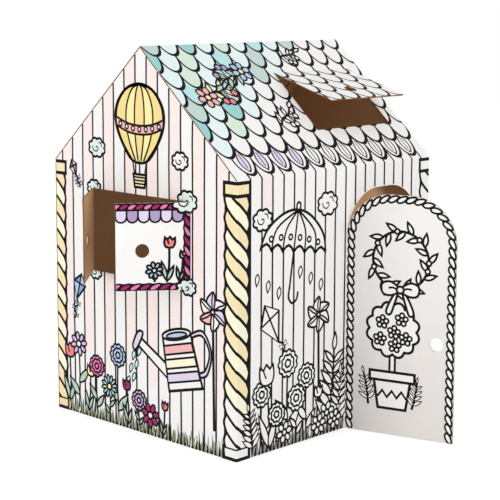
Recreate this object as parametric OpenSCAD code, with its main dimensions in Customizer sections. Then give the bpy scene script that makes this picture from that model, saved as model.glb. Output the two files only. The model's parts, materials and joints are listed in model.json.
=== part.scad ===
// A child's playhouse folded from one die-cut sheet of corrugated card.
// Lengths are in millimetres and angles in degrees. The origin is the middle of the
// floor outline, +Z is up, the door wall faces -Y and the window gable faces -X.
// Left and right are as seen from outside, facing the panel.

/* [House] */
// Length of the door wall, over the outer faces
wall_length = 920; // [880:5:1200]
// Width of each gable wall, over the outer faces
gable_width = 830; // [720:5:1000]
// Height of the eave crease above the floor
eave_height = 842; // [820:1:960]
// Height of the ridge above the floor
ridge_height = 1219; // [1150:1:1400]

/* [Board] */
// Thickness of the corrugated board, which is also the outer radius of a fold
board = 4; // [3:0.5:7]
// Width of a die-cut line round a flap
cut_gap = 0.5; // [0.3:0.1:1.5]

/* [Door] */
// Width of the doorway
door_width = 362; // [310:1:410]
// Height of the doorway at its flat top
door_height = 765; // [650:1:800]
// Radius of the doorway's rounded shoulders
door_shoulder = 150; // [60:1:154]
// Distance from the doorway's free side to the right-hand corner
door_from_corner = 60; // [40:1:120]
// Height of the door's lower edge above the floor
door_floor_gap = 2; // [1:0.5:10]
// Angle by which the door stands open
door_open = 74; // [0:1:165]

/* [Window] */
// Width of the window opening
window_width = 452; // [300:1:520]
// Height of the window opening
window_height = 267; // [200:1:320]
// Height of the window's lower edge above the floor
window_sill = 494; // [350:1:540]
// Distance from the gable's middle to the window's middle, towards the right
window_offset = -4; // [-60:1:60]
// Angle by which the left shutter stands open
left_open = 48; // [0:1:165]
// Angle by which the right shutter stands open
right_open = 52; // [0:1:165]

/* [Skylight] */
// Width of the skylight opening
skylight_width = 365; // [200:1:400]
// Length of the skylight opening along the slope
skylight_length = 260; // [150:1:290]
// Distance from the eave crease up the slope to the skylight's free edge
skylight_from_eave = 160; // [80:1:190]
// Distance from the right-hand end of the roof to the skylight
skylight_from_gable = 67; // [60:1:160]
// Angle by which the skylight flap stands open
skylight_open = 25; // [0:1:145]

/* [Finger holes] */
// Diameter of each finger hole
finger_hole = 42; // [25:1:60]
// Distance from the door's free side to its finger hole's centre
door_hole_inset = 60; // [40:1:120]
// Height of the door's finger hole above the floor
door_hole_height = 308; // [200:1:500]
// Distance from a shutter's free side to its finger hole's centre
shutter_hole_inset = 80; // [40:1:100]
// Height of a shutter's finger hole above the window's lower edge
shutter_hole_height = 122; // [60:1:150]
// Distance from the skylight flap's free side to its finger hole's centre
skylight_hole_inset = 79; // [40:1:110]

/* [Inner tabs] */
// Width of the glue tab that joins the window gable to the back wall
glue_tab = 45; // [25:1:80]
// Width of the gable tabs that carry the roof panels
slope_tab = 50; // [25:1:60]
// Width of the ridge flap that tucks under the front roof panel
ridge_flap = 80; // [40:1:110]
// Distance from a crease's end to a tab's end
tab_setback = 35; // [20:1:60]
// Length by which a tab narrows at each end
tab_taper = 18; // [5:1:25]

/* [Hidden] */
$fn = 96;
fold_steps = 8;
through = 20;
// Depth by which a tab starts inside the panel that it is folded from
seam = board / 4;
outer_white = "#F6F4EF";
door_grey = "#E9E7E5";

half_length = wall_length / 2;
half_width = gable_width / 2;
roof_rise = ridge_height - eave_height;
roof_pitch = atan2(roof_rise, half_width);
slope_length = norm([half_width, roof_rise]);

// Inner corners of the folds and the gable's peak, in the plane across the ridge
wall_top = eave_height - board * tan((90 - roof_pitch) / 2);
eave_corner = [board - half_width, wall_top];
ridge_corner = [-board / (2 * sin(roof_pitch)), ridge_height - 1.5 * board / cos(roof_pitch)];
gable_peak = [0, ridge_height - board / cos(roof_pitch) + seam];
front_ridge = [0, ridge_height];
front_ridge_inside = front_ridge + board * [sin(roof_pitch), -cos(roof_pitch)];
// Distance up the slope from the eave crease to where the ridge flap leaves its fold
flap_fold = slope_length + board / (2 * tan(roof_pitch)) - 1.5 * board * tan(roof_pitch);
tab_top = slope_length - board * tan(roof_pitch) - tab_setback;

door_left = half_length - door_from_corner - door_width;
window_left = window_offset - window_width / 2;
window_right = window_offset + window_width / 2;
shutter_width = window_width / 2;
skylight_left = half_length - skylight_from_gable - skylight_width;
skylight_hinge = skylight_from_eave + skylight_length;

// Points of a fold's outer face, about the fold's inner corner
function fold(corner, from, to) = [
    for (step = [0 : fold_steps])
        let (angle = from + (to - from) * step / fold_steps)
            corner + board * [cos(angle), sin(angle)]
];

// Places a drawing on a panel's outer face, with +Z pointing out of the house
module on_door_wall() { translate([0, -half_width, 0]) rotate([90, 0, 0]) children(); }
module on_window_gable() { translate([-half_length, 0, 0]) rotate([90, 0, -90]) children(); }
module on_front_slope() {
    translate([0, -half_width, eave_height]) rotate([roof_pitch, 0, 0]) children();
}

// Extrudes a section across the ridge along the house's length
module along_ridge(length) {
    rotate([90, 0, 90]) linear_extrude(height = length, center = true) children();
}

// Gives a drawing the board's thickness, with its outer face at zero
module sheet() { translate([0, 0, -board]) linear_extrude(height = board) children(); }

// A tab's sheet under a panel, sunk a little into it where the glue holds
module glued_sheet() {
    translate([0, 0, -2 * board]) linear_extrude(height = board + seam) children();
}

// Cuts a drawing right through a panel and what lies behind it
module cutter() {
    translate([0, 0, -through]) linear_extrude(height = 2 * through) children();
}

// Outline of a doorway with a flat top and round shoulders
module arch(width, height, shoulder) {
    square([width, height - shoulder]);
    translate([shoulder, 0]) square([width - 2 * shoulder, height]);
    for (x = [shoulder, width - shoulder])
        translate([x, height - shoulder]) circle(r = shoulder);
}

// A tab with slanted ends: its crease lies on the X axis and it reaches towards +Y
module tab(length, depth) {
    polygon([[0, 0], [length, 0], [length - tab_taper, depth], [tab_taper, depth]]);
}

// Outline of the four walls: three folded corners and one lapped and glued
module wall_outline() {
    difference() {
        union() {
            square([wall_length, gable_width - 2 * board], center = true);
            square([wall_length - 2 * board, gable_width], center = true);
            for (corner = [[-1, -1], [1, -1], [1, 1]])
                translate([corner.x * (half_length - board), corner.y * (half_width - board)])
                    circle(r = board);
            translate([-half_length, half_width - board]) square(board);
        }
        square([wall_length - 2 * board, gable_width - 2 * board], center = true);
    }
}

module gables() {
    for (side = [-1, 1])
        translate([side * (half_length - board / 2), 0, 0])
            along_ridge(board)
                polygon([eave_corner, [-eave_corner.x, eave_corner.y], gable_peak]);
}

// The front panel ends in a cut edge at the ridge
module front_roof() {
    along_ridge(wall_length)
        polygon(concat([eave_corner], fold(eave_corner, 180, 90 + roof_pitch),
            [front_ridge, front_ridge_inside]));
}

// The back panel folds over at the ridge, and its flap lies under the front panel
module back_roof() {
    mirror([0, 1, 0])
        along_ridge(wall_length)
            polygon(concat([eave_corner], fold(eave_corner, 180, 90 + roof_pitch),
                fold(ridge_corner, 90 + roof_pitch, 90 - roof_pitch), [ridge_corner]));
    flap_length = wall_length - 2 * (board + slope_tab + tab_taper);
    on_front_slope()
        translate([-flap_length / 2, flap_fold + seam, 0])
            glued_sheet() mirror([0, 1]) tab(flap_length, ridge_flap + seam);
}

// One tab along each slope of each gable, folded in under the roof
module slope_tabs() {
    for (back = [0, 1], right = [0, 1])
        mirror([0, back, 0]) mirror([right, 0, 0])
            on_front_slope()
                translate([board - seam - half_length, tab_top, 0])
                    glued_sheet() rotate(-90) tab(tab_top - tab_setback, slope_tab + seam);
}

// The window gable's tab, glued inside the back wall
module corner_tab() {
    mirror([0, 1, 0])
        on_door_wall()
            translate([board - seam - half_length, wall_top - tab_setback, 0])
                glued_sheet() rotate(-90) tab(wall_top - 2 * tab_setback, glue_tab + seam);
}

module door_cut() {
    translate([door_left, -through]) arch(door_width, door_height + through, door_shoulder);
}

module window_cut() {
    translate([window_left, window_sill]) square([window_width, window_height]);
}

module skylight_cut() {
    translate([skylight_left, skylight_from_eave]) square([skylight_width, skylight_length]);
}

// The folded sheet: four walls, two roof panels and the tabs that hold them
module house_shell() {
    color(outer_white)
    difference() {
        union() {
            linear_extrude(height = wall_top) wall_outline();
            gables();
            front_roof();
            back_roof();
            slope_tabs();
            corner_tab();
        }
        on_door_wall() cutter() door_cut();
        on_window_gable() cutter() window_cut();
        on_front_slope() cutter() skylight_cut();
    }
}

// The door, creased along its left side and swung outwards
module door() {
    color(door_grey)
    on_door_wall()
        translate([door_left, 0, 0])
            rotate([0, -door_open, 0])
                sheet()
                    difference() {
                        translate([cut_gap, door_floor_gap])
                            arch(door_width - 2 * cut_gap,
                                door_height - cut_gap - door_floor_gap,
                                door_shoulder - cut_gap);
                        translate([door_width - door_hole_inset, door_hole_height])
                            circle(d = finger_hole);
                    }
}

// A shutter in its closed place, with its crease on the Y axis and its body towards +X
module shutter_leaf() {
    difference() {
        translate([cut_gap, window_sill + cut_gap])
            square([shutter_width - 1.5 * cut_gap, window_height - 2 * cut_gap]);
        translate([shutter_width - shutter_hole_inset, window_sill + shutter_hole_height])
            circle(d = finger_hole);
    }
}

module left_shutter() {
    color(outer_white)
    on_window_gable()
        translate([window_left, 0, 0])
            rotate([0, -left_open, 0])
                sheet() shutter_leaf();
}

module right_shutter() {
    color(outer_white)
    on_window_gable()
        translate([window_right, 0, 0])
            rotate([0, right_open, 0])
                sheet() mirror([1, 0]) shutter_leaf();
}

// The skylight flap, creased along its upper side and lifted outwards
module skylight_flap() {
    color(outer_white)
    on_front_slope()
        translate([skylight_left, skylight_hinge, 0])
            rotate([-skylight_open, 0, 0])
                sheet()
                    difference() {
                        translate([cut_gap, cut_gap - skylight_length])
                            square([skylight_width - 2 * cut_gap, skylight_length - 2 * cut_gap]);
                        translate([skylight_width / 2, skylight_hole_inset - skylight_length])
                            circle(d = finger_hole);
                    }
}

house_shell();
door();
left_shutter();
right_shutter();
skylight_flap();
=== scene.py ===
# %% [markdown]
# # A playhouse folded from printed white-topped board
#
# The real thing is one flat blank of corrugated board, white outside and brown inside. It is
# printed with line drawings, creased, folded into four walls and a gable roof, and glued along
# one corner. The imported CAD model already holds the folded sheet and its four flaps. This lesson
# dresses that frame: it gives the board its liners and cut edges, lays the print on it as thin
# geometry, and sets up a plain studio. Lengths in the drawings are millimetres, as on a die line,
# and Blender works in metres.

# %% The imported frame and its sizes
import json
import math

import bmesh
import bpy
from mathutils import Matrix, Vector, geometry, noise


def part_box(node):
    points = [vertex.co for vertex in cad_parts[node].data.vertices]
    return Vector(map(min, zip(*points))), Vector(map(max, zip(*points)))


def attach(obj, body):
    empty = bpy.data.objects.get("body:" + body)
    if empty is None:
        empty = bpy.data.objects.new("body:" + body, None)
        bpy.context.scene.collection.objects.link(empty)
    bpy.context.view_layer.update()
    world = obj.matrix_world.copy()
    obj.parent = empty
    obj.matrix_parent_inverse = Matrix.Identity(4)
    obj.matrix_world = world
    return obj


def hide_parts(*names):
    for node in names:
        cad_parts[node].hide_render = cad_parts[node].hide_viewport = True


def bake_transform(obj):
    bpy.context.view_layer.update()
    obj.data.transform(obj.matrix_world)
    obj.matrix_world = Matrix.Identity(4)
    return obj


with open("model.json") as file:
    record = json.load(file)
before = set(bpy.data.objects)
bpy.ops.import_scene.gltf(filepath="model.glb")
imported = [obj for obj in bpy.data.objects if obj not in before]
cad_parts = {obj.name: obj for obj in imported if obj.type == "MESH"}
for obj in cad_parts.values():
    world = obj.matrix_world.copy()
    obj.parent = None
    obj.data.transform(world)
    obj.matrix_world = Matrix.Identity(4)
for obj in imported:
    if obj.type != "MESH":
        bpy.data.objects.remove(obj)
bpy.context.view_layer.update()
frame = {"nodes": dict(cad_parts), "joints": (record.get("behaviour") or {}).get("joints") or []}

MM = 0.001
BOARD = 4.0
shell_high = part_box("house_shell")[1]
HALF_LENGTH = shell_high.x / MM
HALF_WIDTH = shell_high.y / MM
RIDGE = shell_high.z / MM
EAVE = 842.0
PITCH = math.atan2(RIDGE - EAVE, HALF_WIDTH)
SLOPE = math.hypot(HALF_WIDTH, RIDGE - EAVE)
DOORWAY = {"left": 38.0, "right": 400.0, "foot": 2.0, "top": 765.0, "shoulder": 150.0}
ARCH_START = DOORWAY["top"] - DOORWAY["shoulder"]
WINDOW = (-230.0, 494.0, 222.0, 761.0)
SKYLIGHT = (28.0, 160.0, 393.0, 420.0)
SKYLIGHT_HOLE = (210.5, 239.0, 21.5)
print(f"house {2 * HALF_LENGTH:.0f} x {2 * HALF_WIDTH:.0f} x {RIDGE:.0f} mm, slope {SLOPE:.0f} mm")

# %% [markdown]
# ## Panels and creases
#
# Every surface of the house is a flat panel, so a drawing needs only a panel's origin and its two
# directions: right and up, as seen from outside. A flap is drawn in its closed place and then
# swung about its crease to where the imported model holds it. The crease lines and the rest angles
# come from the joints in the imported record, so a drawing can't drift away from its flap.

# %% Panel directions and flap swings
UP_FRONT = (0, math.cos(PITCH), math.sin(PITCH))
UP_BACK = (0, -math.cos(PITCH), math.sin(PITCH))
Z_UP = (0, 0, 1)


def panel(origin, right, up):
    """A panel's frame: columns right, up and outwards, with its origin in metres."""
    right, up = Vector(right), Vector(up)
    turned = Matrix((right, up, right.cross(up))).transposed()
    return Matrix.Translation(Vector(origin) * MM) @ turned.to_4x4()


PANELS = {
    "door_wall": panel((0, -HALF_WIDTH, 0), (1, 0, 0), Z_UP),
    "window_gable": panel((-HALF_LENGTH, 0, 0), (0, -1, 0), Z_UP),
    "far_gable": panel((HALF_LENGTH, 0, 0), (0, 1, 0), Z_UP),
    "back_wall": panel((0, HALF_WIDTH, 0), (-1, 0, 0), Z_UP),
    "front_roof": panel((0, -HALF_WIDTH, EAVE), (1, 0, 0), UP_FRONT),
    "back_roof": panel((0, HALF_WIDTH, EAVE), (-1, 0, 0), UP_BACK),
}
FLAP_PANEL = {
    "door": "door_wall",
    "left_shutter": "window_gable",
    "right_shutter": "window_gable",
    "skylight_flap": "front_roof",
}
SWING = {}
for joint in frame["joints"]:
    crease = Matrix.Translation(Vector(joint["pos_m"]))
    opened = Matrix.Rotation(math.radians(-joint["range_deg"][0]), 4, Vector(joint["axis"]))
    SWING[joint["child"]] = crease @ opened @ crease.inverted()
print("flaps:", ", ".join(f"{name} on {wall}" for name, wall in FLAP_PANEL.items()))

# %% [markdown]
# ## Nodes and colours
#
# Materials are small node trees. One function adds a node, sets its values and links its inputs,
# so a tree reads from top to bottom. Colours are written as sRGB hex values, as a printer would
# give them, and one function turns them into the linear values that the shader wants.

# %% Helpers for every material
def linear(hex_colour):
    """An sRGB hex colour as a linear RGBA value."""
    parts = [int(hex_colour[i:i + 2], 16) / 255 for i in (1, 3, 5)]
    return [c / 12.92 if c <= 0.04045 else ((c + 0.055) / 1.055) ** 2.4 for c in parts] + [1.0]


def add_node(tree, kind, inputs={}, **settings):
    """Adds a node. An input is a plain value or another node's output socket."""
    made = tree.nodes.new(kind)
    for name, value in settings.items():
        setattr(made, name, value)
    for socket, value in inputs.items():
        if isinstance(value, bpy.types.NodeSocket):
            tree.links.new(value, made.inputs[socket])
        else:
            made.inputs[socket].default_value = value
    return made


def new_material(name):
    """An empty node material with its output node."""
    material = bpy.data.materials.new(name)
    material.use_nodes = True
    material.node_tree.nodes.clear()
    return material, material.node_tree, add_node(material.node_tree, "ShaderNodeOutputMaterial")


print(f"mid grey #808080 is {linear('#808080')[0]:.3f} in linear light")

# %% [markdown]
# ## The white liner
#
# The outer liner is clay-coated white paper: matt, a little warm, with faint cloudy formation. The
# flutes under it show through as a very shallow washboard. It could be a plain white shader, but
# then the walls look like plastic. The flutes follow the sheet round its folds, so they are read
# from a UV map that holds the distance across and along the flutes in metres. The door has the
# same paper with a pale grey tint, and a painted shade that deepens it towards the floor.

# %% Clay-coated white liner
FLUTE_PITCH = 7.5 * MM
# A wave texture turns by 20 radians in each unit of its scale
FLUTE_SCALE = 0.05 * 2 * math.pi / FLUTE_PITCH


def white_liner(name, paper, cloud, low=None):
    """White paper liner over flutes: its main colour, its faint clouds and a painted shade near the floor.
    """
    material, tree, out = new_material(name)
    place = add_node(tree, "ShaderNodeUVMap", uv_map="board").outputs["UV"]
    body = add_node(tree, "ShaderNodeTexCoord").outputs["Object"]
    # Cloudy formation of the pulp, about 60 mm across, and fibre specks of about 1.5 mm
    clouds = add_node(tree, "ShaderNodeTexNoise", {"Vector": body, "Scale": 1 / 0.06, "Detail": 3.0})
    fibre = add_node(tree, "ShaderNodeTexNoise", {"Vector": body, "Scale": 1 / 0.0015, "Detail": 2.0})
    colour = add_node(
        tree, "ShaderNodeMix",
        {0: clouds.outputs["Fac"], 6: linear(paper), 7: linear(cloud)}, data_type="RGBA")
    # Painted shade: the colour darkens towards the floor, over the lowest 0.7 m
    if low:
        height = add_node(tree, "ShaderNodeSeparateXYZ", {0: body}).outputs["Z"]
        rise = add_node(tree, "ShaderNodeMapRange", {"Value": height, "From Max": 0.7})
        colour = add_node(
            tree, "ShaderNodeMix",
            {0: rise.outputs[0], 6: linear(low), 7: colour.outputs[2]}, data_type="RGBA")
    # Washboard: one soft ridge for each flute
    flutes = add_node(
        tree, "ShaderNodeTexWave",
        {"Vector": place, "Scale": FLUTE_SCALE, "Distortion": 0.3},
        wave_type="BANDS", bands_direction="X")
    washboard = add_node(
        tree, "ShaderNodeBump",
        {"Strength": 0.05, "Distance": 0.0003, "Height": flutes.outputs["Fac"]})
    tooth = add_node(
        tree, "ShaderNodeBump",
        {"Strength": 0.06, "Distance": 0.0002, "Height": fibre.outputs["Fac"],
         "Normal": washboard.outputs["Normal"]})
    shader = add_node(
        tree, "ShaderNodeBsdfPrincipled",
        {"Base Color": colour.outputs[2], "Roughness": 0.62, "IOR": 1.45,
         "Specular IOR Level": 0.35, "Normal": tooth.outputs["Normal"]})
    tree.links.new(shader.outputs["BSDF"], out.inputs["Surface"])
    return material


WHITE = white_liner("clay_coated_white_liner", "#FAF9F8", "#F7F6F5")
DOOR_LINER_WITH_PAINTED_SHADE = white_liner("pale_grey_liner_with_painted_floor_shade", "#FAF7F5", "#F6F3F1", "#E6E1DE")
print("made", WHITE.name, "and", DOOR_LINER_WITH_PAINTED_SHADE.name)

# %% [markdown]
# ## The kraft liner
#
# Inside, the board is bare kraft paper: brown, with darker and lighter fibres lying mostly along
# the flutes and a slight washboard. A noise stretched along the fibres gives the streaks, and a
# second, finer one the flecks. Real fibres are 1 to 3 mm long; the streaks here are drawn about
# 12 mm long so that they show from a step away.

# %% Brown kraft liner
material, tree, out = new_material("brown_kraft_liner")
place = add_node(tree, "ShaderNodeUVMap", uv_map="board").outputs["UV"]
laid = add_node(tree, "ShaderNodeMapping", {"Vector": place, "Scale": (1.0, 0.15, 1.0)})
streaks = add_node(
    tree, "ShaderNodeTexNoise",
    {"Vector": laid.outputs["Vector"], "Scale": 1 / 0.0018, "Detail": 4.0, "Roughness": 0.65})
clouds = add_node(tree, "ShaderNodeTexNoise", {"Vector": place, "Scale": 1 / 0.05, "Detail": 2.0})
fibre_tone = add_node(
    tree, "ShaderNodeMix",
    {0: streaks.outputs["Fac"], 6: linear("#C1996F"), 7: linear("#E5C19A")}, data_type="RGBA")
tone = add_node(
    tree, "ShaderNodeMix",
    {0: clouds.outputs["Fac"], 6: fibre_tone.outputs[2], 7: linear("#D6AF84")}, data_type="RGBA")
flutes = add_node(
    tree, "ShaderNodeTexWave",
    {"Vector": place, "Scale": FLUTE_SCALE, "Distortion": 0.4},
    wave_type="BANDS", bands_direction="X")
washboard = add_node(
    tree, "ShaderNodeBump", {"Strength": 0.12, "Distance": 0.0004, "Height": flutes.outputs["Fac"]})
tooth = add_node(
    tree, "ShaderNodeBump",
    {"Strength": 0.15, "Distance": 0.0002, "Height": streaks.outputs["Fac"],
     "Normal": washboard.outputs["Normal"]})
shader = add_node(
    tree, "ShaderNodeBsdfPrincipled",
    {"Base Color": tone.outputs[2], "Roughness": 0.82, "IOR": 1.45, "Specular IOR Level": 0.25,
     "Normal": tooth.outputs["Normal"]})
tree.links.new(shader.outputs["BSDF"], out.inputs["Surface"])
KRAFT = material
print("made", KRAFT.name)

# %% [markdown]
# ## The cut edge
#
# A cut through the board shows two liners and the wavy medium between them. The hollows either
# side of the wave are in shade, which is painted in as a darker brown. The edge faces get their
# own UV: distance along the cut, and depth through the board. A sine of the first, compared with
# the second, draws the medium. At a few metres this averages to the warm brown line that outlines
# such a house.

# %% Fluted cut edge
HALF_BOARD = BOARD / 2 * MM
WAVE_HEIGHT = 1.45 * MM
material, tree, out = new_material("fluted_cut_edge")
place = add_node(tree, "ShaderNodeUVMap", uv_map="board").outputs["UV"]
axes = add_node(tree, "ShaderNodeSeparateXYZ", {"Vector": place})
angle = add_node(
    tree, "ShaderNodeMath", {0: axes.outputs["X"], 1: 2 * math.pi / FLUTE_PITCH},
    operation="MULTIPLY")
wave = add_node(tree, "ShaderNodeMath", {0: angle.outputs[0]}, operation="SINE")
crest = add_node(
    tree, "ShaderNodeMath", {0: wave.outputs[0], 1: WAVE_HEIGHT, 2: HALF_BOARD},
    operation="MULTIPLY_ADD")
offset = add_node(
    tree, "ShaderNodeMath", {0: axes.outputs["Y"], 1: crest.outputs[0]}, operation="SUBTRACT")
away = add_node(tree, "ShaderNodeMath", {0: offset.outputs[0]}, operation="ABSOLUTE")
hollow = add_node(
    tree, "ShaderNodeMapRange",
    {"Value": away.outputs[0], "From Min": 0.35 * MM, "From Max": 0.8 * MM}, clamp=True)
middle = add_node(
    tree, "ShaderNodeMath", {0: axes.outputs["Y"], 1: HALF_BOARD}, operation="SUBTRACT")
depth = add_node(tree, "ShaderNodeMath", {0: middle.outputs[0]}, operation="ABSOLUTE")
between = add_node(
    tree, "ShaderNodeMapRange",
    {"Value": depth.outputs[0], "From Min": 1.5 * MM, "From Max": 1.75 * MM, "To Min": 1.0,
     "To Max": 0.0}, clamp=True)
# Painted shade: the hollows beside the wave, between the liners, get the darker brown
hollow_shade = add_node(
    tree, "ShaderNodeMath", {0: hollow.outputs[0], 1: between.outputs[0]}, operation="MULTIPLY")
tone = add_node(
    tree, "ShaderNodeMix",
    {0: hollow_shade.outputs[0], 6: linear("#A6661C"), 7: linear("#683C10")}, data_type="RGBA")
shader = add_node(
    tree, "ShaderNodeBsdfPrincipled",
    {"Base Color": tone.outputs[2], "Roughness": 0.9, "IOR": 1.45, "Specular IOR Level": 0.2})
tree.links.new(shader.outputs["BSDF"], out.inputs["Surface"])
CUT_EDGE = material
print("made", CUT_EDGE.name)

# %% [markdown]
# ## Dressing the folded sheet
#
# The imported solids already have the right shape, so each board piece is a copy of its solid with
# its faces sorted into three: white liner, kraft liner and cut edge. A face belongs to a liner
# when it lies on a panel's outer plane or one board thickness inside it. At the gables the ends
# of the roof panels lie flush with the gable face, so the copy is first cut along the underside
# of the roof, and the narrow strips outside that line become cut edge, as on the real house.

# %% Sort a board's faces
ON_PLANE = 0.3
SAME_WAY = 0.999
END_ON = 0.99
TURNED = 0.02


def face_kind(centre, normal, panels):
    """(0 white, 1 kraft or 2 cut edge, the panel that the face lies on or None)"""
    for where in panels:
        outward = where.col[2].to_3d()
        depth = (centre - where.translation).dot(outward) / MM
        facing = normal.dot(outward)
        if facing > SAME_WAY and abs(depth) < ON_PLANE:
            return 0, where
        if facing < -SAME_WAY and min(abs(depth + BOARD), abs(depth + 2 * BOARD)) < ON_PLANE:
            return 1, where
    return 2, None


def is_fold(centre, normal):
    """True on the outside of a folded corner, eave or ridge."""
    x, y, z = (abs(part) / MM for part in centre)
    corner = x > HALF_LENGTH - BOARD and y > HALF_WIDTH - BOARD and abs(normal.z) < TURNED
    if corner and min(abs(normal.x), abs(normal.y)) > TURNED:
        return True
    eave = abs(normal.x) < TURNED and y > HALF_WIDTH - 2 * BOARD and z > EAVE - BOARD
    if eave and normal.z > TURNED and centre.y * normal.y > 0:
        return True
    return z > RIDGE - 2 * BOARD and normal.z > math.cos(PITCH) - 0.01 and abs(normal.x) < TURNED


print("liners lie within", ON_PLANE, "mm of a panel's faces")


# %% Give the faces their UVs
def lay_uv(face, uv, across, along):
    """Writes distances in metres along two directions into a face's UVs."""
    for loop in face.loops:
        loop[uv].uv = (loop.vert.co.dot(across), loop.vert.co.dot(along))


def lay_edge_uv(face, uv):
    """Along the cut, and depth through the board from one liner."""
    longest = max(face.edges, key=lambda edge: edge.calc_length())
    along = (longest.verts[1].co - longest.verts[0].co).normalized()
    through = face.normal.cross(along)
    start = min(vert.co.dot(through) for vert in face.verts)
    for loop in face.loops:
        loop[uv].uv = (loop.vert.co.dot(along), loop.vert.co.dot(through) - start)


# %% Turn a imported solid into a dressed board
def finish_piece(piece_name, bm, materials, body):
    """Turns a bmesh into a piece of the house that rides on a body."""
    mesh = bpy.data.meshes.new(piece_name)
    bm.to_mesh(mesh)
    bm.free()
    for material in materials:
        mesh.materials.append(material)
    piece = bpy.data.objects.new(piece_name, mesh)
    bpy.context.scene.collection.objects.link(piece)
    if body:
        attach(piece, body)
    print(f"{piece_name}: {len(mesh.polygons)} faces")
    return piece


def dressed_board(piece_name, node, body, outside, swing, panels, cuts=()):
    """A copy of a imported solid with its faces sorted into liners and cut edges."""
    bm = bmesh.new()
    bm.from_mesh(frame["nodes"][node].data)
    bmesh.ops.remove_doubles(bm, verts=bm.verts, dist=0.01 * MM)
    for where, point, normal in cuts:
        flush = [f for f in bm.faces if where(f.calc_center_median()) and abs(f.normal.x) > END_ON]
        parts = set(flush)
        for face in flush:
            parts.update(face.edges, face.verts)
        bmesh.ops.bisect_plane(bm, geom=list(parts), plane_co=point, plane_no=normal, dist=1e-6)
    bm.normal_update()
    uv = bm.loops.layers.uv.new("board")
    back = swing.inverted()
    for face in bm.faces:
        centre = back @ face.calc_center_median()
        normal = back.to_3x3() @ face.normal
        kind, where = face_kind(centre, normal, panels)
        if where:
            face.smooth = False
        if kind == 0 and abs(normal.x) > END_ON:
            strips = [(centre - point).dot(away) > 0 for chosen, point, away in cuts if chosen(centre)]
            kind = 2 if any(strips) else 0
        if kind == 2 and not swing.to_translation().length and is_fold(centre, normal):
            kind = 0
            where = min(panels, key=lambda one: -normal.dot(one.col[2].to_3d()))
        face.material_index = kind
        if kind == 2:
            lay_edge_uv(face, uv)
        else:
            turn = swing.to_3x3()
            lay_uv(face, uv, turn @ where.col[0].to_3d(), turn @ where.col[1].to_3d())
    piece = finish_piece(piece_name, bm, [outside, KRAFT, CUT_EDGE], body)
    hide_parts(node)


# %% The house and its flaps
GABLE_FACE = (HALF_LENGTH - 0.5) * MM
OUTSIDE = {flap: DOOR_LINER_WITH_PAINTED_SHADE if flap == "door" else WHITE for flap in FLAP_PANEL}


def on_gable(centre):
    return abs(centre.x) > GABLE_FACE


def on_window_gable(centre):
    return centre.x < -GABLE_FACE


roof_cuts = []
for roof in ("front_roof", "back_roof"):
    outward = PANELS[roof].col[2].to_3d()
    roof_cuts.append((on_gable, PANELS[roof].translation - outward * BOARD * MM, outward))
lap = Vector((-HALF_LENGTH, HALF_WIDTH - BOARD, 0)) * MM
roof_cuts.append((on_window_gable, lap, Vector((0, 1, 0))))
dressed_board(
    "folded_house", "house_shell", "house", WHITE, Matrix.Identity(4), list(PANELS.values()),
    roof_cuts)
for flap, wall in FLAP_PANEL.items():
    dressed_board(f"cut_{flap}", flap, flap, OUTSIDE[flap], SWING[flap], [PANELS[wall]])

# %% [markdown]
# ## Printing inks
#
# The drawings are black line work, partly coloured in with thin washes. A wash is never quite
# even: it pools and thins over a few centimetres, and the tooth of the paper shows in it. Each
# wash therefore mixes its colour with a paler one by a noise of about 25 mm.

# %% Black ink and colour washes
def wash(name, hex_colour, pale=0.25, shine=0.3):
    """A thin wash of colour on white paper."""
    material, tree, out = new_material(name)
    body = add_node(tree, "ShaderNodeTexCoord").outputs["Object"]
    pools = add_node(
        tree, "ShaderNodeTexNoise",
        {"Vector": body, "Scale": 1 / 0.025, "Detail": 4.0, "Roughness": 0.6})
    colour = Vector(linear(hex_colour))
    paler = colour.lerp(Vector(linear("#FBFAF7")), pale)
    tone = add_node(
        tree, "ShaderNodeMix",
        {0: pools.outputs["Fac"], 6: colour, 7: paler}, data_type="RGBA")
    shader = add_node(
        tree, "ShaderNodeBsdfPrincipled",
        {"Base Color": tone.outputs[2], "Roughness": 0.7, "IOR": 1.45, "Specular IOR Level": shine})
    tree.links.new(shader.outputs["BSDF"], out.inputs["Surface"])
    return material


WASHES = {
    "cream": "#FFFBDC", "butter": "#F8E7B4", "sun": "#FFF4A6",
    "gold": "#FAE08E", "aqua": "#B9E6E7", "ice": "#E6F8F8", "mist": "#C0D8D1",
    "mint": "#D6EDD8", "teal": "#97D3D2", "magenta": "#A81F68", "pink": "#EC78B2",
    "lilac": "#E2D3EF", "purple": "#AD98C6", "puff": "#DFF1EF", "leaf": "#B3CFB9",
    "lime": "#EEEFAE", "olive": "#8F9B72", "coral": "#EE7F7F", "blush": "#F6B3B4",
    "sky": "#7AA6DC", "haze": "#B4C9EA", "plum": "#A3286A", "orchid": "#D0B5E3",
    "stone": "#8F8C8A",
}
PALETTE = {
    "ink": wash("black_printing_ink", "#110E0F", 0.01, 0.08),
    "white": WHITE,
    "rose": wash("wash_rose", "#FDE8E5", 0.75),
}
for colour_name, hex_colour in WASHES.items():
    PALETTE[colour_name] = wash(f"wash_{colour_name}", hex_colour, 0.35 * min(linear(hex_colour)))
COLOURS = list(PALETTE)
print(len(PALETTE), "inks and washes")

# %% [markdown]
# ## Pen and brush
#
# A print could be a texture, but a part that is shared without images needs it as shapes. So the
# pen draws strokes, which Blender's curves turn into flat ribbons with the help of a straight
# bevel profile and a radius at every point, and the brush fills outlines. Both work on a flat
# sheet in millimetres. The marks are laid from the lowest level up, and each comes to lie about a
# hundredth of a millimetre above the marks that it covers, so a leaf hides the leaf behind it.
# Widths are those of a fine pen, and the print is a bold one, a few millimetres heavier.

# %% Smooth lines, pen and brush
SLIP = 0.012
PAPER_CLEARANCE = 0.2
HIGHEST_SLOT = 60
ON_PLANKS, ON_SHAFTS, ON_COLUMNS = 4, 10, 16
BOLD = 3.2
FINEST = 0.8


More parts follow.
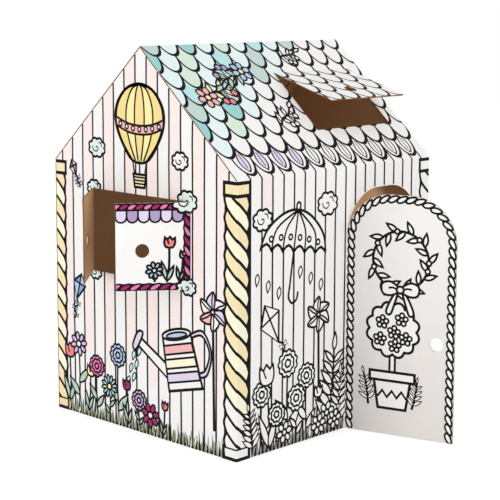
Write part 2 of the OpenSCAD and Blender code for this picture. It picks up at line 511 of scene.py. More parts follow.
def smooth(points, closed=False, steps=5):
    """A smooth line through a few points."""
    count = len(points)
    line = []
    for i in range(count if closed else count - 1):
        here, there = Vector(points[i]), Vector(points[(i + 1) % count])
        before = Vector(points[i - 1]) if closed or i else here
        after = Vector(points[(i + 2) % count]) if closed or i + 2 < count else there
        knots = (here, here + (there - before) / 6, there - (after - here) / 6, there)
        line += geometry.interpolate_bezier(*(knot.to_3d() for knot in knots), steps + 1)[:-1]
    line = [(point.x, point.y) for point in line]
    return line if closed else line + [tuple(points[-1])]


def mitre(points, i, closed):
    """How much wider a nib has to be at a corner, so that the line on both sides keeps its width."""
    last = len(points) - 1
    if not closed and i in (0, last):
        return 1.0
    here = Vector(points[i])
    turn = (here - Vector(points[i - 1])).angle(Vector(points[0 if i == last else i + 1]) - here, 0.0)
    return 1 / max(0.5, math.cos(turn / 2))


def ink(sheet, points, width, level=1, closed=False):
    """A pen stroke. Several widths are spread evenly along it."""
    widths = width if isinstance(width, tuple) else (width, width)
    radii = []
    for i in range(len(points)):
        spot_on = i / max(1, len(points) - 1) * (len(widths) - 1)
        first = min(int(spot_on), len(widths) - 2)
        drawn = widths[first] + (widths[first + 1] - widths[first]) * (spot_on - first)
        radii.append(max(FINEST, drawn + BOLD) * mitre(points, i, closed))
    sheet.append((level, points, None, radii, closed))


def paint(sheet, points, colour, level=1):
    """A filled outline."""
    sheet.append((level, points, colour, [0.0], True))


def figure(sheet, points, colour="white", width=3.4, level=1):
    """A filled outline with a pen line round it."""
    paint(sheet, points, colour, level)
    ink(sheet, points, width, level, closed=True)


print(f"pen: {BOLD} mm over a fine one, with {SLIP} mm from mark to mark")


# %% Places and simple outlines
def spot(u, v, size=1.0, turn=0.0, flip=1):
    """Places a small drawing on a panel: its points are moved, turned and scaled."""
    cosine, sine = size * math.cos(math.radians(turn)), size * math.sin(math.radians(turn))
    return lambda points: [
        (u + cosine * flip * x - sine * y, v + sine * flip * x + cosine * y) for x, y in points]


def ellipse(x, y, wide, tall, count=24):
    angles = [2 * math.pi * i / count for i in range(count)]
    return [(x + wide * math.cos(a), y + tall * math.sin(a)) for a in angles]


def leaf_outline(x, y, length, width, turn, full=1.0):
    """A pointed leaf that grows from a point in a direction given in degrees."""
    side = [(i / 8, math.sin(math.pi * (i / 8) ** 0.8) ** full) for i in range(1, 8)]
    side = [(0, 0), *side, (1, 0)]
    edge = [(length * t, width / 2 * s) for t, s in side]
    edge += [(length * t, -width / 2 * s) for t, s in side[-2:0:-1]]
    return spot(x, y, 1, turn)(edge)


def scalloped(x, y, wide, tall, bumps, depth, steps=6):
    """A ring of round bumps, for clouds and full blossoms."""
    ring = []
    for i in range(bumps * steps):
        angle = 2 * math.pi * i / (bumps * steps)
        reach = 1 + depth * abs(math.sin(bumps * angle / 2))
        ring.append((x + wide * reach * math.cos(angle), y + tall * reach * math.sin(angle)))
    return ring


# %% [markdown]
# ## From a flat sheet to the folded house
#
# The blank is printed flat and folded afterwards, so the print runs unbroken round the corners
# and over the eaves. The drawings do the same: a flat sheet is trimmed to its panel, cut where
# it crosses an opening, given a few extra cuts at each fold so that it can bend, and then rolled
# round the fold with the same outer radius as the board. Beside a flap's crease the marks sink
# towards the board, which leaves room for the flap to fold right over.

# %% The pen's nib and its ribbons
nib = bpy.data.curves.new("pen_nib", "CURVE")
nib_line = nib.splines.new("POLY")
nib_line.points.add(1)
nib_line.points[0].co = (-0.5, 0, 0, 1)
nib_line.points[1].co = (0.5, 0, 0, 1)
NIB = bpy.data.objects.new("pen_nib", nib)


def ribbons(strokes):
    """Pen strokes as a mesh of flat ribbons."""
    curve = bpy.data.curves.new("pen_strokes", "CURVE")
    curve.dimensions = "3D"
    curve.twist_mode = "Z_UP"
    curve.bevel_mode = "OBJECT"
    curve.bevel_object = NIB
    for points, _, radii, closed, lift in strokes:
        line = curve.splines.new("POLY")
        line.points.add(len(points) - 1)
        line.use_cyclic_u = closed
        for knot, (x, y), radius in zip(line.points, points, radii):
            knot.co = (x, y, lift, 1)
            knot.radius = radius
    pen = bpy.data.objects.new("pen_strokes", curve)
    bpy.context.scene.collection.objects.link(pen)
    ready = pen.evaluated_get(bpy.context.evaluated_depsgraph_get())
    mesh = bpy.data.meshes.new_from_object(ready)
    bpy.data.objects.remove(pen)
    return mesh


# %% Stack the marks of a sheet
def overlap(one, other):
    """True where two boxes of left, low, right and high share some paper."""
    return one[0] < other[2] and other[0] < one[2] and one[1] < other[3] and other[1] < one[3]


def stacked(sheet, above):
    """A sheet's marks as (points, colour, radii, closed, lift). Ink may share a slot with ink.

    A row that has used up the slots starts again just above the marks of the levels below it.
    """
    placed, marks = [], []
    for level, points, colour, radii, closed in sorted(sheet, key=lambda mark: mark[0]):
        grow = max(radii) / 2
        us, vs = [u for u, _ in points], [v for _, v in points]
        box = (min(us) - grow, min(vs) - grow, max(us) + grow, max(vs) + grow)
        covered = {slot: lower for other, slot, field, lower in placed
                   if (colour or field) and overlap(box, other)}
        slot = max(covered, default=-1) + 1
        if slot > HIGHEST_SLOT:
            slot = max((under for under, lower in covered.items() if lower < level), default=-1) + 1
            while slot in covered:
                slot += 1
        placed.append((box, slot, colour, level))
        marks.append((points, colour, radii, closed, PAPER_CLEARANCE + SLIP * (slot + above)))
    return marks


# %% Crease lines and straight cuts
NEAR_CORNER = 0.5
CREASES = {
    "door": ((DOORWAY["left"], DOORWAY["foot"]), (DOORWAY["left"], ARCH_START), (1, 0)),
    "left_shutter": (
        (WINDOW[0], WINDOW[1] + NEAR_CORNER), (WINDOW[0], WINDOW[3] - NEAR_CORNER), (1, 0)),
    "right_shutter": (
        (WINDOW[2], WINDOW[1] + NEAR_CORNER), (WINDOW[2], WINDOW[3] - NEAR_CORNER), (-1, 0)),
    "skylight_flap": (
        (SKYLIGHT[0] + NEAR_CORNER, SKYLIGHT[3]), (SKYLIGHT[2] - NEAR_CORNER, SKYLIGHT[3]), (0, -1)),
}
SINK_REACH = 10.0


def slice_line(bm, point, normal, clear=False):
    """Cuts a flat sheet along a straight line, and can drop what lies beyond it."""
    parts = list(bm.verts) + list(bm.edges) + list(bm.faces)
    bmesh.ops.bisect_plane(
        bm, geom=parts, plane_co=(*point, 0), plane_no=(*normal, 0), dist=1e-4, clear_outer=clear)


def slice_box(bm, box, clear=False):
    """Cuts a flat sheet along the four sides of a box of left, low, right and high."""
    left, low, right, high = box
    for point, normal in (((left, 0), (-1, 0)), ((right, 0), (1, 0)),
                          ((0, low), (0, -1)), ((0, high), (0, 1))):
        slice_line(bm, point, normal, clear)


def drop_faces(bm, inside):
    gone = [face for face in bm.faces if inside(face.calc_center_median())]
    bmesh.ops.delete(bm, geom=gone, context="FACES")


def sink(bm, low, high):
    """Lets the marks beside a crease sink evenly towards it."""
    slice_box(bm, (low[0] - SINK_REACH, low[1] - SINK_REACH, high[0] + SINK_REACH, high[1] + SINK_REACH))
    for vert in bm.verts:
        u, v, lift = vert.co
        beside = u - min(max(u, low[0]), high[0])
        beyond = v - min(max(v, low[1]), high[1])
        vert.co.z = lift * min(1, math.hypot(beside, beyond) / SINK_REACH)


print("the print of", ", ".join(CREASES), "sinks within", SINK_REACH, "mm of the crease")


# %% Press a sheet flat and trim it
HOLE_SIDES = 8


def pressed(sheet, keep=None, windows=(), hole=None, above=0, creases=()):
    """A sheet's fills and strokes as one flat mesh, trimmed and cut for openings."""
    bm = bmesh.new()
    marks = stacked(sheet, above)
    for points, colour, _, _, lift in marks:
        if colour:
            face = bm.faces.new([bm.verts.new((x, y, lift)) for x, y in points])
            face.material_index = COLOURS.index(colour)
    bm.normal_update()
    bmesh.ops.triangulate(bm, faces=bm.faces[:], ngon_method="EAR_CLIP")
    bm.from_mesh(ribbons([mark for mark in marks if not mark[1]]))
    for left, low, right, high in windows:
        slice_box(bm, (left, low, right, high))
        drop_faces(bm, lambda c: left < c.x < right and low < c.y < high)
    if keep:
        slice_box(bm, keep, clear=True)
    if hole:
        u, v, radius = hole
        for i in range(HOLE_SIDES):
            a = math.pi * i / HOLE_SIDES
            normal = (math.cos(a), math.sin(a))
            for side in (-radius, radius):
                slice_line(bm, (u + side * normal[0], v + side * normal[1]), normal)
        drop_faces(bm, lambda c: math.hypot(c.x - u, c.y - v) < radius * 1.02)
    for flap in creases:
        sink(bm, *CREASES[flap][:2])
    bm.normal_update()
    for face in bm.faces:
        if face.normal.z < 0:
            face.normal_flip()
    return bm


# %% Fold a sheet on
EAVE_ANGLE = math.pi / 2 - PITCH
WALL_TOP = EAVE - BOARD * math.tan(EAVE_ANGLE / 2)
CORNER_CUTS = 6
EAVE_CUTS = 4


def folded(distance, lift, start, angle):
    """Where a point of the sheet lies past a fold: (along the panel, out of the panel)"""
    past = distance - start
    if past <= 0:
        return distance, lift
    turn = min(past / BOARD, angle)
    rest = past - turn * BOARD
    along = start + (BOARD + lift) * math.sin(turn) + rest * math.cos(turn)
    return along, (BOARD + lift) * math.cos(turn) - BOARD - rest * math.sin(turn)


def fold_on(bm, where, half=None, eave=False, swing=Matrix.Identity(4)):
    """Lays a flat sheet on a panel, round its side folds and over its eave."""
    uv = bm.loops.layers.uv.new("board")
    reach = max((abs(vert.co.x) for vert in bm.verts), default=0)
    if half and reach > half - BOARD:
        for k in range(CORNER_CUTS + 1):
            line = half - BOARD + BOARD * math.pi / 2 * k / CORNER_CUTS
            slice_line(bm, (line, 0), (1, 0))
            slice_line(bm, (-line, 0), (1, 0))
    if eave:
        for k in range(EAVE_CUTS + 1):
            slice_line(bm, (0, WALL_TOP + BOARD * EAVE_ANGLE * k / EAVE_CUTS), (0, 1))
    for face in bm.faces:
        for loop in face.loops:
            loop[uv].uv = loop.vert.co.xy * MM
    for vert in bm.verts:
        u, v, lift = vert.co
        out = lift
        across = abs(u)
        if half and across > half - BOARD:
            across, out = folded(across, lift, half - BOARD, math.pi / 2)
        elif eave and v > WALL_TOP:
            v, out = folded(v, lift, WALL_TOP, EAVE_ANGLE)
        vert.co = swing @ where @ (Vector((math.copysign(across, u), v, out)) * MM)
    return bm


def print_piece(piece_name, body, layers):
    """Joins folded layers of print into one piece and keeps only the inks that it uses."""
    joined = bmesh.new()
    for bm in layers:
        mesh = bpy.data.meshes.new("layer")
        bm.to_mesh(mesh)
        bm.free()
        joined.from_mesh(mesh)
        bpy.data.meshes.remove(mesh)
    used = sorted({face.material_index for face in joined.faces})
    for face in joined.faces:
        face.material_index = used.index(face.material_index)
    finish_piece(piece_name, joined, [PALETTE[COLOURS[i]] for i in used], body)


print(f"the print bends over the eave from {WALL_TOP:.1f} mm up")

# %% [markdown]
# ## Planks
#
# The walls are drawn as upright boards about 50 mm wide, with slightly shaky lines, as a hand
# draws them. On the window gable every second plank has a pale rose wash, brushed on loosely, that
# stops short of the ground. The lines run full height; the window is cut out of them afterwards.

# %% Plank lines and rose washes
GABLE_PLANK = 50.5
WALL_PLANK = 48.0
FOOT = 3.0
OVER_EAVE = 46.0


def shaky(u, low, high):
    """An upright line with a hand's small wobble."""
    steps = max(2, int((high - low) / 70))
    line = []
    for i in range(steps + 1):
        v = low + (high - low) * i / steps
        line.append((u + 1.6 * noise.noise(Vector((u * 0.37, v * 0.008, 4.2))), v))
    return line


def floor_line(u):
    return FOOT


def eave_line(u):
    return EAVE + OVER_EAVE


def gable_top(u):
    return EAVE + (HALF_WIDTH - abs(u)) * math.tan(PITCH) - 6


def doorway_top(u):
    """Height of the doorway's arch, or the floor beside it."""
    if not DOORWAY["left"] - 1 < u < DOORWAY["right"] + 1:
        return FOOT
    bend = DOORWAY["shoulder"]
    short = max(0.0, bend - min(u - DOORWAY["left"], DOORWAY["right"] - u))
    return ARCH_START + math.sqrt(max(0.0, bend * bend - short * short)) + FOOT


def plank_drawing(width, first, low, high, washed=None):
    """Plank lines between two height functions. Washed gives a rose wash's foot on some planks."""
    sheet = []
    for i in range(-9, 10):
        u = first + i * width
        if high(u) - low(u) > 20:
            ink(sheet, shaky(u, low(u), high(u)), (4.0, 3.6, 3.9, 3.3, 3.5), 0)
    for i, foot in (washed or {}).items():
        left, right = first + i * width + 5, first + (i + 1) * width - 5
        reach = min(high(left), high(right)) - foot
        if reach > 60:
            bottom = [(left + (right - left) * k / 4, foot + 24 * noise.noise(Vector((i, k * 0.9, 0.4))))
                      for k in range(5)]
            sides = [[(u + 4 * noise.noise(Vector((u * 0.3, k * 0.7, 1.1))), foot + reach * k / 8)
                      for k in range(1, 8)] for u in (left, right)]
            top = [(right, high(right)), (left, high(left))]
            paint(sheet, bottom + sides[1] + top + sides[0][::-1], "rose", -1)
    return sheet


rose_feet = {i: 190 + 80 * noise.noise(Vector((i * 1.7, 0.5, 0))) for i in range(-7, 8, 2)}
gable_planks = plank_drawing(GABLE_PLANK, -23, floor_line, gable_top, rose_feet)
door_planks = plank_drawing(WALL_PLANK, 28, doorway_top, eave_line, {-8: 690})
back_planks = plank_drawing(WALL_PLANK, 0, floor_line, eave_line)
plain_planks = plank_drawing(GABLE_PLANK, 0, floor_line, gable_top)
print("planks every", GABLE_PLANK, "and", WALL_PLANK, "mm")

# %% [markdown]
# ## Twisted columns and ropes
#
# The corners carry twisted columns and the door and window are framed with rope. Both are rows
# of one repeated strand. A column's strand is a band that bulges at the edges and crosses on a
# slanted S; a rope's strand is a slim lens, slanted to the line that the rope follows.

# %% Column and rope
def column(sheet, u, half, low, high, colours, foot="white"):
    """A twisted column with a base and a cap. Foot is the colour of the base and lowest strands."""
    rise, drop = 56.0, 74.0
    cap, base = 38.0, 34.0
    crossing = [(-1.0, 0.0), (-0.45, 0.3), (0.3, 0.62), (1.0, 1.0)]
    shaft = []
    top = high - cap + drop
    for side, heavy in ((-1, 8.5), (1, 11.5)):
        ink(shaft, [(u + side * half * 1.1, low), (u + side * half * 1.1, high)], heavy, 0)
    for i in range(int((high - low + 2 * drop) / rise) + 1):
        v = top - i * rise
        over = smooth([(u + half * x, v - drop * t) for x, t in crossing])
        under = [(x, y - rise) for x, y in over]
        right = smooth([over[-1], (u + half * 1.24, v - drop - rise * 0.5), under[-1]], steps=4)
        left = smooth([under[0], (u - half * 1.24, v - rise * 0.5), over[0]], steps=4)
        colour = foot if v - drop < low + 120 else colours[i % len(colours)]
        figure(shaft, over + right[1:-1] + under[::-1] + left[1:-1], colour, 6.4, 1 + i % 2)
    trimmed = pressed(shaft, (u - 2 * half, low + base, u + 2 * half, high - cap), above=ON_PLANKS)
    for bottom, height, colour in ((high - cap, cap, colours[0]), (low, base, foot)):
        reach = half * 1.28
        block = [(-reach, 0), (reach, 0), (reach, height), (-reach, height)]
        figure(sheet, spot(u, bottom)(block), colour, 7.5, 2)
    return trimmed


def rope(sheet, path, width, pitch, pen, colours, core, level=2):
    """Strands of rope along a line, on a dark core."""
    ink(sheet, path, width * core, level - 1)
    walked, due, number = 0.0, pitch / 2, 0
    for (x0, y0), (x1, y1) in zip(path, path[1:]):
        step = math.hypot(x1 - x0, y1 - y0)
        while due <= walked + step:
            t = (due - walked) / step
            lean = math.degrees(math.atan2(y1 - y0, x1 - x0)) + 27
            at = spot(x0 + (x1 - x0) * t, y0 + (y1 - y0) * t, 1, lean)
            lens = at(leaf_outline(-pitch * 0.66, 0, pitch * 1.32, width * 0.68, 0, 0.6))
            figure(sheet, lens, colours[number % len(colours)], pen, level)
            due += pitch
            number += 1
        walked += step


# %% [markdown]
# ## Garden motifs
#
# The wall pictures are everyday garden things, each drawn by a short function from a few leaves,
# rings and strokes: flowers, ferns, grass, clouds, a balloon, a parasol, a kite, a watering can.
# Drawing them as functions lets the same flower grow in several sizes and colours.

# %% Flowers
def tulip(sheet, u, v, height, bloom, leaf="leaf", lean=0.0):
    at = spot(u, v, 1, lean)
    ink(sheet, at(smooth([(0, 0), (3, height * 0.5), (0, height)])), 4.2, 1)
    for side, size in ((-1, 0.6), (1, 0.48)):
        figure(sheet, at(leaf_outline(0, 4, height * size, height * 0.13, 90 - side * 20)), leaf, 3, 2)
    b = height * 0.3
    side = smooth([(0, 0), (0.36, 0.1), (0.52, 0.5), (0.48, 1.0)], steps=3)
    crown = [(0.24, 0.82), (0, 1.08), (-0.24, 0.82)]
    cup = side + crown + [(-x, y) for x, y in side[:0:-1]]
    figure(sheet, at([(b * x, height + b * y) for x, y in cup]), bloom, 3.8, 3)
    ink(sheet, at([(-0.24 * b, height + b * 0.8), (-0.06 * b, height + b * 0.36)]), 2.6, 4)


def daisy(sheet, u, v, radius, petal, heart, petals=8, stem=0.0, leaf="leaf", level=3):
    if stem:
        ink(sheet, smooth([(u, v - stem), (u + 4, v - stem / 2), (u, v)]), 3.8, 1)
        for side, at in ((-1, 0.8), (1, 0.6)):
            base = (u + 2, v - stem * at)
            figure(sheet, leaf_outline(*base, stem * 0.34, stem * 0.12, 90 - side * 42), leaf, 2.8, 2)
    reach = 0.64 * radius
    half = 0.92 * reach * math.sin(math.pi / petals)
    for i in range(petals):
        at = spot(u, v, 1, 360 * i / petals + 12)
        figure(sheet, at(ellipse(reach, 0, 0.36 * radius, half, 16)), petal, 3, level)
    figure(sheet, ellipse(u, v, radius * 0.27, radius * 0.27, 16), heart, 3, level + 1)


def pompon(sheet, u, v, radius, colour, stem=0.0, leaf="leaf"):
    """A full round blossom of three scalloped rings."""
    if stem:
        ink(sheet, smooth([(u + 3, v - stem), (u - 3, v - stem / 2), (u, v)]), 4.2, 1)
        for side, at in ((-1, 0.7), (1, 0.85)):
            base = (u, v - stem * at)
            figure(sheet, leaf_outline(*base, stem * 0.36, stem * 0.13, 90 - side * 38), leaf, 3, 2)
    for ring, (share, bumps) in enumerate(((0.86, 11), (0.56, 8), (0.24, 5))):
        size = radius * share
        figure(sheet, scalloped(u, v, size, size, bumps, 0.16, 5), colour, 3.6, 3 + ring)


# %% Ferns, grass and clouds
def fern(sheet, u, v, height, lean, pairs=6):
    at = spot(u, v, 1, lean)
    fine = min(3.2, height * 0.018 - 1.8)
    ink(sheet, at(smooth([(0, 0), (4, height * 0.5), (0, height)])), (5, 3.4), 1)
    for i in range(pairs):
        y = height * (0.16 + 0.75 * i / pairs)
        size = height * (0.34 - 0.15 * i / pairs)
        for side in (-1, 1):
            figure(sheet, at(leaf_outline(2, y, size, size * 0.32, 90 - side * 50)), "white", fine, 2)
    figure(sheet, at(leaf_outline(0, height * 0.92, height * 0.2, height * 0.07, 90)), "white", fine, 2)


def grass(sheet, left, right, height, tint="olive"):
    """Blades from the floor edge, two black ones to each tinted one."""
    count = int((right - left) / 5.5)
    for i in range(count):
        u = left + (right - left) * (i + 0.5) / count
        chance = noise.noise(Vector((u * 0.31, 1.3, 7.7)))
        tall = height * (0.72 + 0.6 * chance)
        tip = u + 22 * noise.noise(Vector((u * 0.53, 9.1, 2.0)))
        if i % 3 == 1:
            paint(sheet, leaf_outline(u, 2, tall * 0.9, 8.5, 90 - (tip - u) * 1.2), tint, 1)
        else:
            blade = smooth([(u, 2), ((u + tip) / 2 + 2, tall * 0.5), (tip, tall)])
            ink(sheet, blade, (3.0, 1.2, -2.4), 1)


def cloud(sheet, u, v, size, colour="puff", level=1):
    figure(sheet, scalloped(u, v, size, size * 0.78, 8, 0.2, 7), colour, 4.4, level)
    curl = smooth([(-0.62, 0.12), (-0.5, -0.22), (-0.12, -0.36), (0.16, -0.12), (0.02, 0.1), (-0.16, 0.0)])
    ink(sheet, spot(u, v, size)(curl), 1.0, level)
    ink(sheet, spot(u, v, size)(smooth([(0.22, 0.5), (0.56, 0.4), (0.66, 0.08)])), 1.0, level)


# %% Balloon
def balloon(sheet, u, v, radius, stripes, basket):
    """A hot-air balloon with upright gores."""
    outline = [(0, 1), (0.55, 0.84), (0.93, 0.4), (0.98, -0.1), (0.74, -0.62), (0.3, -1.12),
               (-0.3, -1.12), (-0.74, -0.62), (-0.98, -0.1), (-0.93, 0.4), (-0.55, 0.84)]
    at = spot(u, v, radius)
    edge = smooth(outline, True, 5)
    figure(sheet, at(edge), stripes[0], 6, 1)
    gores = [(-0.95, -0.55), (-0.2, 0.2), (0.55, 0.95)]
    for left, right in gores:
        rib = [(1.0, 0), (0.84, 0.55), (0.4, 0.93), (-0.1, 0.98), (-0.62, 0.74), (-1.12, 0.3)]
        sides = [(left * w, h) for h, w in rib] + [(right * w, h) for h, w in reversed(rib)]
        paint(sheet, at(sides), stripes[1], 2)
        for edge_share in (left, right):
            ink(sheet, at(smooth([(edge_share * w, h) for h, w in rib])), 3.6, 3)
    ink(sheet, at(edge), 6, 4, closed=True)
    band = smooth([(-0.97, 0.06), (-0.5, -0.1), (0, -0.15), (0.5, -0.1), (0.97, 0.06)])
    low_band = [(x * 0.98, y - 0.24) for x, y in band]
    figure(sheet, at(band + low_band[::-1]), "blush", 4, 4)
    for i in range(7):
        x = -0.78 + 0.26 * i
        figure(sheet, at(ellipse(x, -0.25 + 0.19 * x * x, 0.06, 0.07, 12)), "white", 2.6, 5)
    for x in (-0.28, 0.0, 0.28):
        ink(sheet, at([(x, -1.12), (x * 0.75, -1.5)]), 3, 1)
    crate = [(-0.26, -1.5), (0.26, -1.5), (0.2, -1.86), (-0.2, -1.86)]
    figure(sheet, at(crate), basket, 5, 2)
    for i in range(3):
        y = -1.58 - 0.09 * i
        ink(sheet, at([(-0.23, y), (0.23, y)]), 2.4, 3)


# %% Parasol, kite and pinwheel
def parasol(sheet, u, v, size):
    """An open parasol with a scalloped hem."""
    at = spot(u, v, size, -9)
    ink(sheet, at([(0, 0.95), (0, -0.75)]), 4.5, 1)
    hook = smooth([(0, -0.7), (0.0, -0.92), (0.12, -1.04), (0.25, -0.96), (0.27, -0.8)])
    ink(sheet, at(hook), 4.5, 1)
    hem = [(-1 + i / 3, 0) for i in range(7)]
    dome = smooth([(-1, 0), (-0.86, 0.4), (-0.45, 0.74), (0, 0.86), (0.45, 0.74), (0.86, 0.4), (1, 0)])
    scallops = []
    for (x0, _), (x1, _) in zip(hem[::-1], hem[-2::-1]):
        scallops += [(x0 + (x1 - x0) * t, 0.13 * math.sin(math.pi * t)) for t in (0, 0.25, 0.5, 0.75)]
    figure(sheet, at(dome + scallops), "white", 5.5, 2)
    for x, _ in hem[1:-1]:
        ink(sheet, at(smooth([(x, 0.0), (x * 0.86, 0.45), (0, 0.86)])), 3.8, 3)
    for i in range(6):
        x = -0.83 + i / 3
        figure(sheet, at(ellipse(x * 0.86, 0.3 - 0.1 * x * x, 0.055, 0.055, 12)), "white", 3, 3)
    figure(sheet, at(ellipse(0, 0.93, 0.06, 0.08, 14)), "white", 4, 3)


def kite(sheet, u, v, size, turn, colours=("white", "white")):
    """A four-cornered kite with bows on its tail."""
    at = spot(u, v, size, turn)
    tail = smooth([(0, -1.15), (0.28, -1.6), (-0.1, -2.0), (0.3, -2.5), (0.05, -2.95)])
    ink(sheet, at(tail), 3.6, 1)
    for x, y in ((0.2, -1.5), (-0.02, -2.0), (0.24, -2.5)):
        for side in (-1, 1):
            reach = side * max(0.26, 13 / size)
            bow = [(x, y), (x + reach, y + 0.55 * reach), (x + reach, y - 0.55 * reach)]
            figure(sheet, at(bow), colours[1], -1.2, 2)
    figure(sheet, at([(0, 1), (0.72, 0.2), (0, -1.15), (-0.72, 0.2)]), colours[0], 5, 3)
    paint(sheet, at([(0, 1), (0.72, 0.2), (0, 0.2)]), colours[1], 4)
    paint(sheet, at([(0, 0.2), (0, -1.15), (-0.72, 0.2)]), colours[1], 4)
    ink(sheet, at([(0, 1), (0, -1.15)]), 3.4, 5)
    ink(sheet, at([(-0.72, 0.2), (0.72, 0.2)]), 3.4, 5)


def pinwheel(sheet, u, v, size, stick, colours=("white",)):
    """A paper windmill on a stick."""
    ink(sheet, [(u, v), (u + 6, v - stick)], 7, 1)
    for i in range(6):
        at = spot(u, v, size, 10 + 60 * i)
        vane = smooth([(0, 0), (0.32, 0.62), (0.98, 0.36), (0.72, 0.1)], True, 3)
        figure(sheet, at(vane), colours[i % len(colours)], 4, 2)
        ink(sheet, at(smooth([(0.1, 0.06), (0.45, 0.24), (0.9, 0.34)])), 2.6, 3)
    figure(sheet, ellipse(u, v, size * 0.13, size * 0.13, 16), "white", 4, 4)


# %% Watering can
def watering_can(sheet, u, v, size, bands, water):
    """A garden can tipped towards the flowers on its left."""
    at = spot(u, v, size, 14)
    grip = smooth([(0.5, 0.58), (0.95, 0.62), (1.12, 0.1), (0.86, -0.4), (0.56, -0.46)])
    hollow = [(x * 0.93 + 0.01, y * 0.8 + 0.02) for x, y in grip]
    figure(sheet, at(grip + hollow[::-1]), bands[0], 4.4, 1)
    spout = [(-0.5, -0.45), (-0.5, -0.05), (-1.24, 0.62), (-1.4, 0.46)]
    figure(sheet, at(spout), "white", 5.5, 2)
    rose_head = smooth([(-1.16, 0.76), (-1.3, 0.56), (-1.54, 0.36), (-1.6, 0.5), (-1.34, 0.8)], True, 3)
    figure(sheet, at(rose_head), bands[0], 5, 3)
    figure(sheet, at([(-0.56, -0.72), (0.62, -0.72), (0.52, 0.62), (-0.46, 0.62)]), "white", 6, 3)
    for i, colour in enumerate(bands):
        low, high = -0.52 + 0.34 * i, -0.3 + 0.34 * i
        wide = [0.6 - 0.085 * (y + 0.72) for y in (low, high)]
        strip = [(-wide[0] + 0.03, low), (wide[0], low), (wide[1], high), (-wide[1] + 0.03, high)]
        figure(sheet, at(strip), colour, 3.6, 4)
    figure(sheet, at(ellipse(0.03, 0.62, 0.5, 0.13, 28)), "white", 5, 5)
    figure(sheet, at(ellipse(0.03, 0.6, 0.36, 0.07, 24)), "haze", 3.4, 6)
    for i in range(6):
        x, y = u - size * (1.4 + 0.2 * (i % 2) + 0.1 * (i // 2)), v + size * (0.08 - 0.34 * (i // 2))
        drop = leaf_outline(x, y - 16 * (i % 2), 34, 16, 250)
        figure(sheet, drop, water, 1.0, 1)


# %% Wreath, topiary and sprigs
def wreath(sheet, u, v, radius, leaf, berry):
    """A ring of leaves with berries and a bow."""
    ink(sheet, ellipse(u, v, radius, radius, 36), 5, 1, closed=True)
    for i in range(22):
        angle = 2 * math.pi * i / 22
        x, y = u + radius * math.cos(angle), v + radius * math.sin(angle)
        lean = math.degrees(angle) + 90 + (52 if i % 2 else -40)
        figure(sheet, leaf_outline(x, y, radius * 0.46, radius * 0.17, lean), leaf, 3.4, 2)
        if i % 3 == 0:
            figure(sheet, ellipse(x, y, radius * 0.085, radius * 0.085, 14), berry, 3.2, 3)
    for side in (-1, 1):
        at = spot(u, v - radius, radius, 0, side)
        end = smooth([(0.05, 0.02), (0.2, -0.5), (0.34, -0.86), (0.5, -0.78), (0.3, -0.3)], True, 4)
        figure(sheet, at(end), "white", 4.2, 4)
        loop = smooth([(0, 0), (0.34, 0.26), (0.66, 0.16), (0.62, -0.16), (0.3, -0.2)], True, 4)
        figure(sheet, at(loop), "white", 4.2, 5)
        ink(sheet, at(smooth([(0.06, 0), (0.26, 0.06), (0.42, 0.04)])), 3, 6)
    figure(sheet, ellipse(u, v - radius, radius * 0.13, radius * 0.12, 16), "white", 4.2, 7)


def topiary(sheet, u, v, size):
    """A clipped tree in a banded pot."""
    at = spot(u, v, size)
    figure(sheet, at([(-0.34, 0.5), (0.34, 0.5), (0.26, 0), (-0.26, 0)]), "white", 5.5, 2)
    figure(sheet, at([(-0.42, 0.66), (0.42, 0.66), (0.42, 0.5), (-0.42, 0.5)]), "white", 5.5, 3)
    zigzag = [(-0.27 + 0.09 * i, 0.2 + 0.12 * (i % 2)) for i in range(7)]
    ink(sheet, at(zigzag), 3.6, 3)
    figure(sheet, at([(-0.05, 0.66), (0.05, 0.66), (0.05, 1.0), (-0.05, 1.0)]), "white", 4, 1)
    figure(sheet, at(scalloped(0, 1.42, 0.44, 0.44, 12, 0.14, 6)), "white", 5, 2)
    for x, y in ((-0.2, 1.55), (0.16, 1.62), (0.02, 1.38), (-0.24, 1.24), (0.24, 1.28), (0.04, 1.14)):
        daisy(sheet, u + size * x, v + size * y, size * 0.12, "white", "white", 5, level=3)


def sprig(sheet, u, v, size, turn, leaf, fruit, petal=None):
    """A twig with leaves and either fruit or a blossom."""
    at = spot(u, v, size, turn)
    ink(sheet, at(smooth([(0, 0), (0.4, 0.12), (0.9, 0.05), (1.35, 0.2)])), 4.4, 4)
    leaves = ((0.2, 0.07, 62), (0.34, 0.1, -58), (0.7, 0.08, 50), (0.86, 0.06, -62), (1.3, 0.2, 14))
    for x, y, lean in leaves:
        figure(sheet, at(leaf_outline(x, y, 0.5, 0.2, lean)), leaf, 3.2, 5)
    for x, y in ((0.5, -0.34), (0.72, -0.44), (1.12, -0.2)):
        ink(sheet, at(smooth([(x + 0.05, 0.06), (x, y + 0.1)])), 3, 4)
        figure(sheet, at(ellipse(x, y, 0.13, 0.13, 18)), fruit, 3.6, 6)
    if petal:
        daisy(sheet, *at([(-0.05, 0.02)])[0], size * 0.42, petal, "sun", 6, level=6)


# %% [markdown]
# ## The window gable
#
# This is the side that has been coloured in: a striped balloon under the ridge, clouds at the
# window's corners, and a garden with a watering can along the ground.

